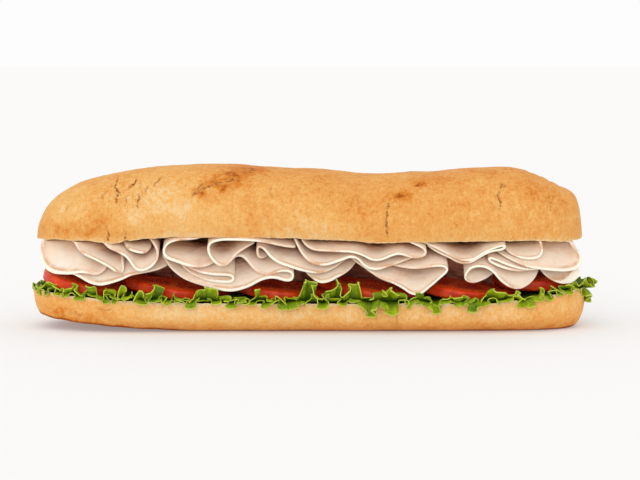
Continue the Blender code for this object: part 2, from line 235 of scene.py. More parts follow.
HANGING_FRILL = (
    (-152, 0.4, 4), (-144, -0.6, 3), (-136, 0.4, 2.5), (-130, -1.0, 2.5), (-124, 0.2, 2),
    (-116, 0.5, 1.5), (-106, 0.4, 2), (-98, 0.4, 2.5), (-92, 0.8, 2), (-86, 0.8, 2),
    (-78, 0.2, 3), (-72, 0.9, 2), (-66, 0.0, 3), (-60, 0.4, 2.5), (-54, 0.9, 1.5),
    (-47, 0.8, 0.5), (-40, -0.2, 3), (-36, 0.1, 3), (-31, 0.5, 1.5), (-25.4, 0.3, 1.5),
    (-23.4, -2.0, 4), (-18.8, -1.8, 4), (-16.4, 0.4, 1.5), (-13.4, -1.8, 3.5),
    (-9.8, -4.8, 5), (-6.6, -1.8, 3.5), (-2, 0.6, 2), (2.6, 2.0, 4), (6.2, 0.6, 7),
    (10.5, 2.2, 5), (14, 1.4, 2), (20, 0.6, 1), (26.6, 0.2, 1.5), (28.6, -3.0, 4),
    (31.6, -6.2, 4.5), (35.6, -5.2, 4.5), (37.6, -0.6, 2.5), (39.6, -3.6, 4.5),
    (43.6, -6.4, 5.5), (47.4, -4.6, 5), (49.4, -0.4, 2), (53.4, -1.8, 3), (57, -0.2, 2),
    (60.4, -0.6, 2), (63, -3.2, 4), (66.6, -4.6, 4.5), (70.4, -2.2, 3.5), (74.5, 0.2, 2),
    (78, 0.0, 1.5), (83.6, -1.4, 3), (87, -5.6, 4), (91.4, -2.4, 3.5), (94, 0.2, 2),
    (101, -0.4, 2.5), (107, 0.0, 2), (113.6, -1.6, 3), (117.6, -5.2, 4), (121, -2.2, 3),
    (125, 0.0, 2), (132, -0.4, 2.5), (139, 0.2, 2.5), (145, -1.0, 3), (149, -8.0, 5), (152, -15.0, 5.5),
)
# Ruffles: wave length, how far they stand off the leaf, how far they swing along it
RUFFLES = (
    (12.0, 1.6, 1.5),
    (6.8, 2.1, 1.7),
    (2.9, 0.55, 0.4),
)

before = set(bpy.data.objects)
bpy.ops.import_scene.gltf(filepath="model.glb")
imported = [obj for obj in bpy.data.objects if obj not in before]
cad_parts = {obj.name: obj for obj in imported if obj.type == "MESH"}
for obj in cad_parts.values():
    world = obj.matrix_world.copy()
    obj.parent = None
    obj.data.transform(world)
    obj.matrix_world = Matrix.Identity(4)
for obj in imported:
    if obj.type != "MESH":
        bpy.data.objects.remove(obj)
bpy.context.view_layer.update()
ROLL_HALF = (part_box("bun_top")[1].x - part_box("bun_top")[0].x) / 2 / MM
LOWER_HALF = ROLL_HALF * LOWER_LENGTHENING


# ---------------------------------------------------------------- numbers
def clamp(value, low=0.0, high=1.0):
    return max(low, min(high, value))


def ease(share):
    return share * share * (3 - 2 * share)


def fade(value, start, end):
    """0 at start, 1 at end, eased between."""
    return ease(clamp((value - start) / (end - start)))


def mixed(first, second, share):
    return first + (second - first) * share


def stations(table, x, column=1):
    """A value eased from one station of a table to the next."""
    if x <= table[0][0]:
        return table[0][column]
    for before, after in zip(table, table[1:]):
        if x <= after[0]:
            share = ease((x - before[0]) / (after[0] - before[0]))
            return mixed(before[column], after[column], share)
    return table[-1][column]


def lumps(x, y, z, size, seed=0):
    """Smooth noise from -1 to 1 whose lumps are about size across."""
    return noise.noise(Vector((x / size + 7.3 * seed, y / size - 3.1 * seed, z / size)))


def power(value, exponent):
    return math.copysign(abs(value) ** exponent, value)


def evenly(points, count):
    """count + 1 points spaced evenly along a line of points."""
    lengths = [0.0]
    for (y0, z0), (y1, z1) in zip(points, points[1:]):
        lengths.append(lengths[-1] + math.hypot(y1 - y0, z1 - z0))
    spaced = []
    leg = 0
    for step in range(count + 1):
        target = lengths[-1] * step / count
        while leg < len(points) - 2 and lengths[leg + 1] < target:
            leg += 1
        share = (target - lengths[leg]) / max(1e-9, lengths[leg + 1] - lengths[leg])
        (y0, z0), (y1, z1) = points[leg], points[leg + 1]
        spaced.append((mixed(y0, y1, share), mixed(z0, z1, share)))
    return spaced


def beside_path(x, z, path):
    """(signed distance from a line of points, how far along it) of a point."""
    nearest, along = math.inf, 0.0
    for leg, ((x0, z0), (x1, z1)) in enumerate(zip(path, path[1:])):
        run, climb = x1 - x0, z1 - z0
        share = clamp(((x - x0) * run + (z - z0) * climb) / (run * run + climb * climb))
        away = math.hypot(x - x0 - run * share, z - z0 - climb * share)
        if away < abs(nearest):
            nearest = math.copysign(away, (x - x0) * climb - (z - z0) * run)
            along = (leg + share) / (len(path) - 1)
    return nearest, along


# ---------------------------------------------------------------- making objects
def finished(name, bm, finish, body=BODY, slot=None, nodes=(), sharp=None, **attributes):
    """One object from a mesh modelled in millimetres, riding on its body."""
    bmesh.ops.scale(bm, vec=(MM, MM, MM), verts=bm.verts)
    mesh = bpy.data.meshes.new(name)
    bm.to_mesh(mesh)
    bm.free()
    mesh.shade_smooth()
    if sharp is not None:
        mesh.set_sharp_from_angle(angle=math.radians(sharp))
    for attribute, values in attributes.items():
        layer = mesh.attributes.new(attribute, "FLOAT", "POINT")
        layer.data.foreach_set("value", values)
    mesh.materials.append(finish)
    piece = bpy.data.objects.new(name, mesh)
    bpy.context.scene.collection.objects.link(piece)
    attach(piece, body)
    if nodes:
        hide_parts(*nodes)
    return piece


# ---------------------------------------------------------------- the roll
def nose(x, powers, half=ROLL_HALF):
    """How full the roll is at x: 1 in the middle and 0 at the tip of either end."""
    share = min(1.0, abs(x) / half)
    return math.sqrt(1 - share ** powers[x > 0])


def half_width(x, half=ROLL_HALF):
    return ROLL_WIDTH / 2 * nose(x, PLAN_POWERS, half)


def end_rise(x):
    return min(1.0, abs(x) / ROLL_HALF) ** RISE_POWER


def lower_cut_height(x, y):
    reach = half_width(x, LOWER_HALF)
    across = min(1.0, abs(y) / reach) if reach > 0 else 1.0
    dish = LOWER_DISH * (1 - across ** DISH_POWER) * nose(x, PLAN_POWERS, LOWER_HALF)
    wave = stations(LOWER_WAVE, x) * fade(across, 0.3, 0.9)
    return LOWER_CUT + LOWER_RISE * end_rise(x) + wave - dish


def upper_cut_height(x):
    return UPPER_CUT + UPPER_RISE * end_rise(x) + stations(RIM_WAVE, x)


def lower_section(x):
    """The crust of the bottom half at x, from its back rim under the base to its front."""
    reach = half_width(x, LOWER_HALF)
    edge = lower_cut_height(x, reach)
    depth = (edge + BASE_SINK) * nose(x, LOWER_POWERS, LOWER_HALF)
    points = []
    for step in range(SECTION_STEPS + 1):
        angle = math.pi * step / SECTION_STEPS
        y = reach * power(math.cos(angle), LOWER_SIDE_POWER)
        drop = depth * abs(math.sin(angle)) ** LOWER_SIDE_POWER
        points.append((y, max(stations(UNDER_LIFT, x), edge - drop)))
    return points


def upper_section(x):
    """The crust of the top half at x, from its back rim over the crown to its front."""
    cut = upper_cut_height(x)
    crown = sum(stations(CROWN, x + beside) for beside in (-5, 0, 5)) / 3
    rise = (crown - cut) * nose(x, UPPER_POWERS)
    points = []
    for step in range(SECTION_STEPS + 1):
        angle = math.pi * step / SECTION_STEPS
        height = rise * abs(math.sin(angle)) ** UPPER_SIDE_POWER
        narrow = 1 - TUCK * max(0.0, 1 - height / TUCK_HEIGHT) ** 2
        y = half_width(x) * power(math.cos(angle), UPPER_SIDE_POWER) * narrow
        points.append((y, cut + height))
    return points


def roll_ring(x, section, cut_height):
    """The points round one half at x: its crust, then its cut face back to the start."""
    crust = evenly(section(x), CRUST_SIDES)
    ring = list(crust)
    (y0, _), (y1, _) = crust[-1], crust[0]
    across = ROLL_SIDES - CRUST_SIDES
    for step in range(1, across):
        y = mixed(y0, y1, step / across)
        ring.append((y, cut_height(x, y)))
    return ring


def roll_skin(half, section, cut_height):
    """A closed skin round one half: a sphere, its poles on X, drawn onto the roll's rings.

    It also returns how far round its ring each point lies, counted from the nearer rim and
    below 0 on the cut face.
    """
    bm = bmesh.new()
    turn = Matrix.Rotation(math.pi / 2, 4, "Y")
    bmesh.ops.create_uvsphere(
        bm, u_segments=ROLL_SIDES, v_segments=ROLL_RINGS, radius=1.0, matrix=turn
    )
    rings = {}
    from_rim = []
    for vert in bm.verts:
        ring = round(math.acos(clamp(vert.co.x, -1, 1)) / math.pi * ROLL_RINGS)
        side = round(math.atan2(vert.co.z, vert.co.y) / (2 * math.pi) * ROLL_SIDES) % ROLL_SIDES
        x = half * math.cos(math.pi * ring / ROLL_RINGS)
        if ring not in rings:
            rings[ring] = roll_ring(x, section, cut_height)
        y, z = rings[ring][side]
        vert.co = (x, y, z)
        rim_y, rim_z = rings[ring][0 if y > 0 else CRUST_SIDES]
        away = math.hypot(y - rim_y, z - rim_z)
        from_rim.append(away if side <= CRUST_SIDES else -away)
    bmesh.ops.recalc_face_normals(bm, faces=bm.faces)
    bm.normal_update()
    return bm, from_rim


# Splits in the crust: lines of points (x, height), and how deep each split is from 0 to 1
TOP_SPLITS = (
    (((-107, 84), (-106.6, 80.5), (-107.6, 78), (-104.6, 75.4), (-106.3, 72), (-105.5, 67)), 0.9),
    (((-95.3, 82.4), (-96.6, 79.8), (-98.4, 79), (-99.7, 77)), 1.0),
    (((-93.8, 75.4), (-93.2, 72.5), (-94.4, 69.6), (-93.6, 66.3)), 0.7),
    (((-81, 84), (-83.2, 81.6), (-84.6, 80.4), (-86, 78.2)), 0.6),
    (((-111.5, 76.5), (-114.2, 73), (-113.2, 69.4)), 0.5),
    (((-101.5, 73.4), (-100.2, 70.4), (-101.2, 67.6)), 0.5),
    (((-88.5, 79), (-90.2, 76.6), (-89.6, 74)), 0.45),
    (((-66.9, 72.2), (-62.6, 74.8), (-57.7, 77.5), (-53.4, 79.1), (-44, 81.7), (-38.6, 82.7)), 0.7),
    (((-65, 75.4), (-60.4, 78.2), (-56.5, 81)), 0.6),
    (((43.4, 71.6), (42.4, 65), (42, 58.7), (42.3, 51)), 0.8),
    (((105.7, 81), (105.2, 77.3), (103.4, 74.2), (104.5, 70.5), (103.6, 65)), 0.8),
    (((107.6, 79.4), (105.6, 76.6)), 0.5),
    (((-110.6, 56.5), (-110.2, 52), (-110.6, 47)), 0.8),
    (((-100.4, 55.4), (-100.7, 49)), 0.7),
    (((28, 76.5), (26.6, 72), (27.6, 67)), 0.35),
    (((131.5, 74), (133, 69), (132, 64)), 0.4),
    (((-20.5, 79.5), (-21.6, 76), (-20.2, 72)), 0.3),
)
BOTTOM_SPLITS = (
    (((48.1, 16), (47.6, 7.3), (49.5, 2)), 0.35),
    (((-119, 14.6), (-113, 12.6), (-108, 13.4)), 0.4),
    (((-131, 12), (-127, 9.4), (-124, 10)), 0.4),
)
# Where the crust is crazed all over: centre x, height, half length, half height, amount
TOP_CRAZING = (
    (-103, 74, 17, 11, 1.0), (-52, 80, 18, 7, 0.9), (-125, 60, 14, 9, 0.5),
    (44, 72, 18, 12, 0.7), (128, 74, 22, 14, 0.9), (85, 78, 30, 7, 0.4),
    (-10, 78, 26, 10, 0.45), (110, 60, 30, 10, 0.4), (10, 62, 30, 10, 0.3),
)
BOTTOM_CRAZING = ((-128, 9, 22, 6, 0.5), (120, 9, 26, 7, 0.4), (30, 8, 70, 5, 0.25))
# Patches of the crust: centre x, height, half length, half height, browning (pale below 0)
TOP_PATCHES = (
    (-60, 76, 5, 2.6, 0.42), (-53, 80.5, 7, 2.6, 0.42), (-44, 84, 8, 2.4, 0.42),
    (-33, 86.5, 9, 2.2, 0.36), (-58.6, 73.4, 2.0, 1.6, 0.62), (-47.8, 77.4, 2.8, 1.9, 0.62),
    (-41, 80.5, 7, 2.4, 0.30), (-50, 73, 10, 4, 0.12), (-69, 68, 6, 5, -0.16),
    (-95, 61.5, 6, 4.5, -0.2), (-80, 74, 12, 6, -0.16), (-100, 76, 16, 8, -0.10),
    (-125, 55, 9, 5, 0.30), (-115, 59, 5, 5, 0.26), (-140, 53, 9, 6, 0.22),
    (-136, 68, 12, 9, -0.04), (50, 73.6, 6, 2.0, 0.50), (61, 79.2, 4.6, 1.5, 0.50),
    (72, 83, 7, 1.6, 0.16), (26, 66, 12, 10, 0.14), (8, 56, 16, 5, -0.14),
    (0, 66, 18, 8, -0.06), (64, 62, 16, 8, 0.05), (120, 77, 14, 7, 0.16),
    (136, 66, 12, 14, 0.10), (142, 56, 9, 6, 0.04), (118, 60, 16, 9, 0.05),
    (-20, 56, 40, 5, -0.10), (90, 68, 18, 8, 0.08), (88, 54, 22, 3, -0.10),
)
BOTTOM_PATCHES = (
    (-139, 11, 8, 5, 0.16), (-126, 6.5, 14, 3, 0.18), (-114, 11, 9, 4, 0.12),
    (35, 11.5, 95, 5.0, -0.09), (-60, 12.5, 45, 4.0, -0.08), (-138, 12, 9, 5, 0.14),
    (-122, 8, 14, 3, 0.14), (137, 9, 14, 7, 0.10), (48, 6, 5, 4, 0.08),
    (-90, 4, 40, 3, 0.10), (70, 3, 70, 2.4, 0.12),
)
BACK_SHIFT = 14.0  # the back carries the same marks, turned end for end and shifted
MARK_CENTRE = 5.75  # the marks are drawn in towards this x by MARK_SCALE
MARK_SCALE = 0.976


FAR_FROM_SPLIT = 5.0


def patches_at(x, z, patches, ragged):
    """The sum of soft oval patches at a point."""
    total = 0.0
    for centre, height, half_length, half_height, amount in patches:
        across = ((x - centre) / half_length) ** 2 + ((z - height) / half_height) ** 2
        if across < 4:
            total += amount * math.exp(-across) * ragged
    return total


def nearest_split(x, z, splits):
    """(signed distance, depth) of the split nearest to a point of the crust."""
    nearest, depth = FAR_FROM_SPLIT, 0.0
    for path, deepest in splits:
        if path[0][0] - 14 < x < path[-1][0] + 14 or path[-1][0] - 14 < x < path[0][0] + 14:
            away, along = beside_path(x, z, path)
            if abs(away) < abs(nearest):
                nearest = away
                depth = deepest * fade(min(along, 1 - along), 0.0, 0.16)
    return nearest, depth


def marks_at(x, y, z, splits, patches, crazing):
    """(distance from a split, its depth, browning, crazing) at a point of the crust."""
    if y > 0:
        x = BACK_SHIFT - x
    x = MARK_CENTRE + (x - MARK_CENTRE) / MARK_SCALE
    jitter_x = 0.7 * lumps(x, y, z, 2.6, 1)
    jitter_z = 0.7 * lumps(x, y, z, 2.6, 2)
    away, depth = nearest_split(x + jitter_x, z + jitter_z, splits)
    ragged = 0.65 + 0.7 * lumps(x, y, z, 3.4, 3)
    brown = patches_at(x, z, patches, ragged)
    return away, depth, brown, clamp(patches_at(x, z, crazing, 1.0))


def top_relief(x, y, z):
    """How far the top crust stands proud of its smooth form."""
    pulled = 0.35 + 0.65 * max(
        fade(x, -12, 10) * (1 - fade(x, 52, 72)), fade(x, 108, 128), 0.5 * fade(-x, 100, 120)
    )
    wrinkles = lumps(x / 1.5, y / 1.5, z / 9, 1.0, 4) + 0.6 * lumps(x / 3.2, y / 3, z / 16, 1.0, 5)
    return (
        0.75 * lumps(x, y, z, 30, 6)
        + 0.30 * lumps(x, y, z, 12, 7)
        + 0.12 * lumps(x, y, z, 4.5, 8)
        + 0.10 * pulled * wrinkles
    )


def bottom_relief(x, y, z):
    return (
        0.5 * lumps(x, y, z, 26, 9)
        + 0.22 * lumps(x, y, z, 9, 10)
        + 0.08 * lumps(x, y, z, 3.5, 11)
    )


def top_toast_and_painted_light(x, y, z):
    crown = fade(z, 78, 90)
    middle = fade(x, -70, -10) * (1 - fade(x, 60, 120))
    rim = 1 - fade(z - UPPER_CUT - stations(RIM_WAVE, x), 0.5, 4.5)
    # Paler towards the left end: painted light, on the side the key light comes from
    return 0.46 - 0.12 * rim + 0.08 * crown + 0.04 * middle - 0.04 * fade(-x, 20, 90)


def bottom_toast_and_painted_light(x, y, z):
    low = 1 - fade(z, 1.0, 9.0)
    underside_and_contact_shade = 1 - fade(z - stations(UNDER_LIFT, x), 0.2, 2.0)
    # Painted light and shade: paler overall than the top half, which shades it; darker along the
    # ground, a browner underside crust with painted contact shadow
    return 0.37 + 0.12 * low + 0.48 * underside_and_contact_shade + 0.05 * fade(abs(x), 100, 150)


def bun_half(name, node, half, section, cut_height, relief, browning_and_painted_light, marks, edge, finish):
    bm, from_rim = roll_skin(half, section, cut_height)
    moved, toast, split, split_depth, crazed, crumb = [], [], [], [], [], []
    for vert, away in zip(bm.verts, from_rim):
        x, y, z = vert.co
        ragged = 0.8 * lumps(x, y, z, 3.2, 12) + 0.5 * lumps(x, y, z, 1.3, 13)
        beside, depth, brown, craze = FAR_FROM_SPLIT, 0.0, 0.0, 0.0
        if away < 0:
            pores = min(0.0, lumps(x, y, z, 2.4, 14) + 0.1) * 1.6 + 0.25 * lumps(x, y, z, 6, 15)
            height = pores * fade(-away, 0.3, 3.0)
        else:
            beside, depth, brown, craze = marks_at(x, y, z, *marks)
            gap = abs(beside)
            height = relief(x, y, z) - 0.5 * depth * (1 - fade(gap, 0.2, 1.6))
            height += 0.22 * depth * fade(gap, 0.8, 1.8) * (1 - fade(gap, 2.0, 3.6))
            height *= fade(z, 0.0, 1.5)
            height += 0.35 * ragged * (1 - fade(away, 0.0, 2.2))
        moved.append(vert.co + vert.normal * height)
        toast.append(clamp(browning_and_painted_light(x, y, z) + brown))
        split.append(beside)
        split_depth.append(depth)
        crazed.append(craze)
        crumb.append(1 - fade(away + 0.6 * ragged, *edge))
    for vert, place in zip(bm.verts, moved):
        vert.co = place
        vert.co.z = max(0.0, vert.co.z)
    return finished(
        name, bm, finish, slot="bread", nodes=(node,), sharp=70,
        toast=toast, split=split, split_depth=split_depth, crazed=crazed, crumb=crumb,
    )


# ---------------------------------------------------------------- tomato
def tomato_profile(radius):
    """Half a slice's section, from the middle of its upper face round to its lower face."""
    top, edge = TOMATO_THICKNESS / 2, TOMATO_EDGE
    points = [(0.0, top)]
    for step in range(9):
        angle = math.pi / 2 * step / 8
        points.append((radius - edge + edge * math.sin(angle), top - edge * (1 - math.cos(angle))))
    for step in range(9):
        angle = math.pi / 2 * step / 8
        points.append((radius - edge + edge * math.cos(angle), edge * (1 - math.sin(angle)) - top))
    points.append((0.0, -top))
    return points


def tomato_slice(number, x, y, radius, height, tilt, finish):
    """A slice with its skin, its fleshy walls and the sunken, seeded pockets between them."""
    name = f"tomato_{number}"
    bm = bmesh.new()
    bmesh.ops.create_uvsphere(
        bm, u_segments=TOMATO_SIDES, v_segments=TOMATO_RINGS, radius=1.0
    )
    profile = evenly(tomato_profile(radius), TOMATO_RINGS)
    chambers = 5 + number % 3
    flesh, pocket = [], []
    for vert in bm.verts:
        ring = round(math.acos(clamp(vert.co.z, -1, 1)) / math.pi * TOMATO_RINGS)
        out, z = profile[ring]
        turn = math.atan2(vert.co.y, vert.co.x)
        lobes = 1 + 0.018 * math.sin(5 * turn + number) + 0.01 * math.sin(9 * turn + 2 * number)
        share = out / radius
        wall = abs(math.sin(chambers * turn / 2 + 0.5 * math.sin(2 * turn + number)))
        inside = fade(share, 0.30, 0.40) * (1 - fade(share, 0.72, 0.80)) * fade(wall, 0.3, 0.5)
        face = 1 - fade(share, 0.93, 0.97)
        dip = inside * (0.55 + 0.25 * lumps(vert.co.x * radius, vert.co.y * radius, z, 3, number))
        z -= math.copysign(dip, z)
        vert.co = (out * lobes * math.cos(turn), out * lobes * math.sin(turn), z)
        flesh.append(face)
        pocket.append(inside)
    bmesh.ops.recalc_face_normals(bm, faces=bm.faces)
    place = Matrix.Translation((x, y, height)) @ Matrix.Rotation(math.radians(tilt), 4, "Y")
    bmesh.ops.transform(bm, matrix=place, verts=bm.verts)
    for vert in bm.verts:
        vert.co.z -= TOMATO_DROOP * clamp((abs(vert.co.y) - 5) / 32) ** 1.4
    return finished(
        name + "_slice", bm, finish, slot="tomato", nodes=(name,), flesh=flesh, pocket=pocket
    )


# ---------------------------------------------------------------- turkey
def fold_line(corners, step_length):
    """The corners of a fold, rounded and cut into even steps."""
    points = [Vector(corner) for corner in corners]
    line = [points[0]]
    for index in range(1, len(points) - 1):
        before, corner, after = points[index - 1 : index + 2]
        start = before if index == 1 else (before + corner) * 0.5
        end = after if index == len(points) - 2 else (corner + after) * 0.5
        for step in range(1, 25):
            share = step / 24
            line.append(
                start * (1 - share) ** 2
                + corner * (2 * share * (1 - share))
                + end * share ** 2
            )
    length = sum((after - before).length for before, after in zip(line, line[1:]))
    return evenly([tuple(point) for point in line], round(length / step_length))


def tomato_top(x):
    """Height of the highest tomato face at x."""
    tops = [0.0]
    for centre, _, radius, height, tilt in TOMATOES:
        if abs(x - centre) < radius:
            slope = math.radians(tilt)
            top = TOMATO_THICKNESS / 2 / math.cos(slope)
            tops.append(height - (x - centre) * math.tan(slope) + top)
    return max(tops)


def pack_underside():
    """Height of the lowest fold at the rims, at each millimetre of x."""
    lowest = {}
    for _, corners in SLICES.values():
        for x, z in fold_line(corners, 0.4):
            lowest[round(x)] = min(lowest.get(round(x), PRESS_HEIGHT), z)
    return lowest


UNDERSIDE = pack_underside()


def highest_underside(x):
    """Height of the pack's underside near x, where it is highest."""
    return max(UNDERSIDE.get(mm, PRESS_HEIGHT - 20) for mm in range(x - 4, x + 5))


def middle_underside(x):
    """The same, eased along the roll."""
    return sum(highest_underside(near) for near in range(x - 2, x + 3)) / 5


UNDERSIDES = [middle_underside(x) for x in range(-160, 161)]


def pressed(x, z, station):
    """Where a fold at height z of the rims lies at a station from middle (0) to rim (1).

    It goes up over a crest inside its rim, then down to the tomatoes; at the ends of the
    roll it goes back to the height of its rims, and so closes the pack.
    """
    out = min(1.0, abs(station))
    drop = PRESS_HEIGHT - z
    crest = stations(CREST_SHARE, x)
    if out > CREST_STATION:
        climb = math.sin(math.pi / 2 * (1 - out) / (1 - CREST_STATION))
        return PRESS_HEIGHT - drop * (1 - (1 - crest) * climb)
    place = clamp(x + 160, 0, 319.9)
    step = int(place)
    under = min(PRESS_HEIGHT - 4, mixed(UNDERSIDES[step], UNDERSIDES[step + 1], place - step))
    floor = max(20.0, tomato_top(x) - 1.3)
    sunk = floor + (z - under) * (PRESS_HEIGHT - floor) / (PRESS_HEIGHT - under)
    sunk = floor + math.log1p(math.exp(clamp(sunk - floor, -30, 30)))
    closing = fade(abs(x), 122, 134)
    sunk = mixed(sunk, z, closing)
    to_crest = mixed(ease(out / CREST_STATION), fade(out, 0.44, CREST_STATION), closing)
    return mixed(sunk, PRESS_HEIGHT - drop * crest, to_crest)


def pack_drift(x, y, z):
    """The whole pack's unevenness: how far a point of it is moved along Y and Z."""
    out = fade(abs(y), 8, 36)
    top = 1 - fade(z, 44, 48)
    along = out * (1.1 * lumps(x, y / 3, z, 13, 20) + 0.35 * lumps(x, y / 3, z, 4, 21))
    up = top * (0.55 * lumps(x, y / 2, z, 21, 22) + 0.22 * lumps(x, y / 2, z, 8, 23))
    return math.copysign(1.0, y) * along, up


def meet_bread(x, y, z):
    """How far a slice near the top is raised to meet the top half and its wandering edge."""
    ends = END_MEETING * fade(abs(x + 4), 112, 138)
    inside = 1.6 * (1 - fade(abs(y), 32, 40)) * fade(z, 43, 47)
    return (max(0.0, stations(RIM_WAVE, x)) + ends) * fade(z, 34, 46) + inside


def under_rim(x, z):
    """A height near the ends of the roll, kept below the top half's rim."""
    over = max(0.0, z - upper_cut_height(x) + 0.7)
    return z - 0.8 * over * fade(abs(x), 116, 128)


def turkey_slice(name, rim, corners, finish):
    """A thin slice laid along its fold, with a soft cut rim at the front and back."""
    line = fold_line(corners, SLICE_STEP)
    columns, rows = len(line), SLICE_ROWS
    bm = bmesh.new()
    bmesh.ops.create_grid(bm, x_segments=columns - 1, y_segments=rows - 1, size=1.0)
    for vert in bm.verts:
        column = round((vert.co.x + 1) / 2 * (columns - 1))
        x, z = line[column]
        end = abs(2 * column / (columns - 1) - 1)
        station = vert.co.y
        last = rim / RIM_DEPTH * (1 - RIM_ROUNDING * end ** 4)
        if abs(station) > LAST_STATION:
            past = (abs(station) - LAST_STATION) / (1 - LAST_STATION)
            station = math.copysign(mixed(LAST_STATION, last, past), station)
        vert.co = (x, station * RIM_DEPTH * nose(x, PLAN_POWERS, SLICE_REACH), z)
    bmesh.ops.recalc_face_normals(bm, faces=bm.faces)
    sheet = set(bm.faces)
    rims = [edge for edge in bm.edges if edge.is_boundary]
    bmesh.ops.solidify(bm, geom=list(sheet) + rims, thickness=SLICE_THICKNESS)
    bm.normal_update()
    corner_edges = [
        edge for edge in bm.edges
        if len(edge.link_faces) == 2 and edge.calc_face_angle(0.0) > math.radians(55)
    ]
    bmesh.ops.bevel(
        bm, geom=corner_edges, offset=0.3, offset_type="OFFSET", segments=2, profile=0.5,
        affect="EDGES", material=-1,
    )
    bmesh.ops.recalc_face_normals(bm, faces=bm.faces)
    edge = []
    for vert in bm.verts:
        x, y, z = vert.co
        depth = RIM_DEPTH * nose(x, PLAN_POWERS, SLICE_REACH)
        own = rim * nose(x, PLAN_POWERS, SLICE_REACH)
        from_edge = own - abs(y)
        edge.append(max(0.0, min(from_edge, END_OF_PACK - abs(x))))
        raised = pressed(x, z, y / depth) - z
        z += raised
        z = under_rim(x, z + meet_bread(x, y, z))
        x -= math.copysign(END_LEAN * max(0.0, raised) * fade(abs(x), 118, 140), x)
        along, up = pack_drift(x, y, z)
        vert.co = (x, y + along, z + up)
    return finished(
        name + "_slice", bm, finish, slot="turkey", nodes=(name,), sharp=60,
        edge=edge,
    )


# ---------------------------------------------------------------- lettuce
def roll_outline():
    """Points (distance, x, y) of the roll's rim in plan, from left tip to right tip."""
    points = []
    travelled = 0.0
    steps = 900
    for step in range(steps + 1):
        x = -ROLL_HALF * math.cos(math.pi * step / steps)
        y = -half_width(x)
        if points:
            travelled += math.hypot(x - points[-1][1], y - points[-1][2])
        points.append((travelled, x, y))
    return points


OUTLINE = roll_outline()
FRONT_LENGTH = OUTLINE[-1][0]


def rim_at(distance):
    """(x, y) of the rim, a distance along the front from the left tip, or on round it."""
    distance %= 2 * FRONT_LENGTH
    side = 1
    if distance > FRONT_LENGTH:
        distance = 2 * FRONT_LENGTH - distance
        side = -1
    low, high = 0, len(OUTLINE) - 1
    while high - low > 1:
        middle = (low + high) // 2
        if OUTLINE[middle][0] <= distance:
            low = middle
        else:
            high = middle
    (d0, x0, y0), (d1, x1, y1) = OUTLINE[low], OUTLINE[high]
    share = (distance - d0) / max(1e-9, d1 - d0)
    return mixed(x0, x1, share), side * mixed(y0, y1, share)


def rim_frame(distance):
    """A point of the rim, the way along it and the way out from it, in plan."""
    x0, y0 = rim_at(distance - 1.5)
    x1, y1 = rim_at(distance + 1.5)
    x, y = rim_at(distance)
    along = Vector((x1 - x0, y1 - y0, 0)).normalized()
    return Vector((x, y, 0)), along, Vector((along.y, -along.x, 0))


def distance_of(x):
    """How far along the front of the roll a given x lies."""
    return min(OUTLINE, key=lambda point: abs(point[1] - x))[0]


def frill_point(frill, distance, out, seed):
    """A point of the frill: out runs from 0 at the rim to 1 at its ruffled edge."""
    foot, along, outward = rim_frame(distance)
    x = foot.x
    if foot.y > 0:
        x += 3 * BACK_SHIFT * math.sin(math.pi * foot.x / ROLL_HALF)
    rise, reach = stations(frill, x, 1), stations(frill, x, 2)
    torn = 1 - 0.55 * fade(abs(foot.x), 143, 150) * (0.5 + lumps(distance, seed, 0, 6, 46))
    if abs(foot.y) < 22:
        rise, reach = rise * torn, reach * torn
    teeth = 0.6 * lumps(distance, seed, 0, 3.4, 30) + 0.4 * lumps(distance, seed, 0, 1.4, 31)
    rise += 0.7 * teeth
    length = (1.5 + math.hypot(rise, reach)) * (1 + 0.2 * teeth)
    up = Vector((0, 0, 1))
    place = foot + up * (lower_cut_height(foot.x, foot.y) + 0.7)
    place -= outward * (FRILL_FOOT * (1 - out) ** 2)
    place += outward * ((reach + 0.12 * length * teeth) * (1 - (1 - out) ** 1.8))
    arch = FRILL_ARCH * (0.6 + lumps(distance, seed, 0, 7, 44)) * math.sin(math.pi * min(1.0, out))
    place += up * (rise * (1 + 0.2 * teeth) * out ** 1.7 + max(0.0, arch))
    steep = math.atan2(rise, max(0.5, reach)) * out
    across = up * math.cos(steep) - outward * math.sin(steep)
    for wave, (size, stand, swing) in enumerate(RUFFLES):
        phase = 2 * math.pi * distance / size + 2.6 * lumps(distance, seed, 0, size * 1.7, 33 + wave)
        grown = out ** (1.1 + 0.5 * wave)
        uneven = 0.75 + 0.7 * lumps(distance, seed, 0, size * 2.3, 36 + wave)
        place += across * (stand * grown * uneven * math.sin(phase))
        place -= along * (swing * grown * uneven * math.sin(2 * phase))
    return place


def lying_point(distance, inward):
    """A point of the leaf where it lies on the cut face; inward is 0 at the rim."""
    foot, _, outward = rim_frame(distance)
    foot = foot - outward * FRILL_FOOT
    middle = Vector((clamp(foot.x, -112, 112), 0, 0))
    place = foot.lerp(middle, inward * LYING_SHARE)
    bed = lower_cut_height(place.x, place.y) + 0.7
    room = max(2.0, tomato_top(place.x) - TOMATO_THICKNESS - 2.6 - bed)
    crumple = fade(inward, 0.05, 0.45) * (0.6 + 0.4 * lumps(place.x, place.y, 0, 8, 40))
    place.z = bed + room * crumple
    return place


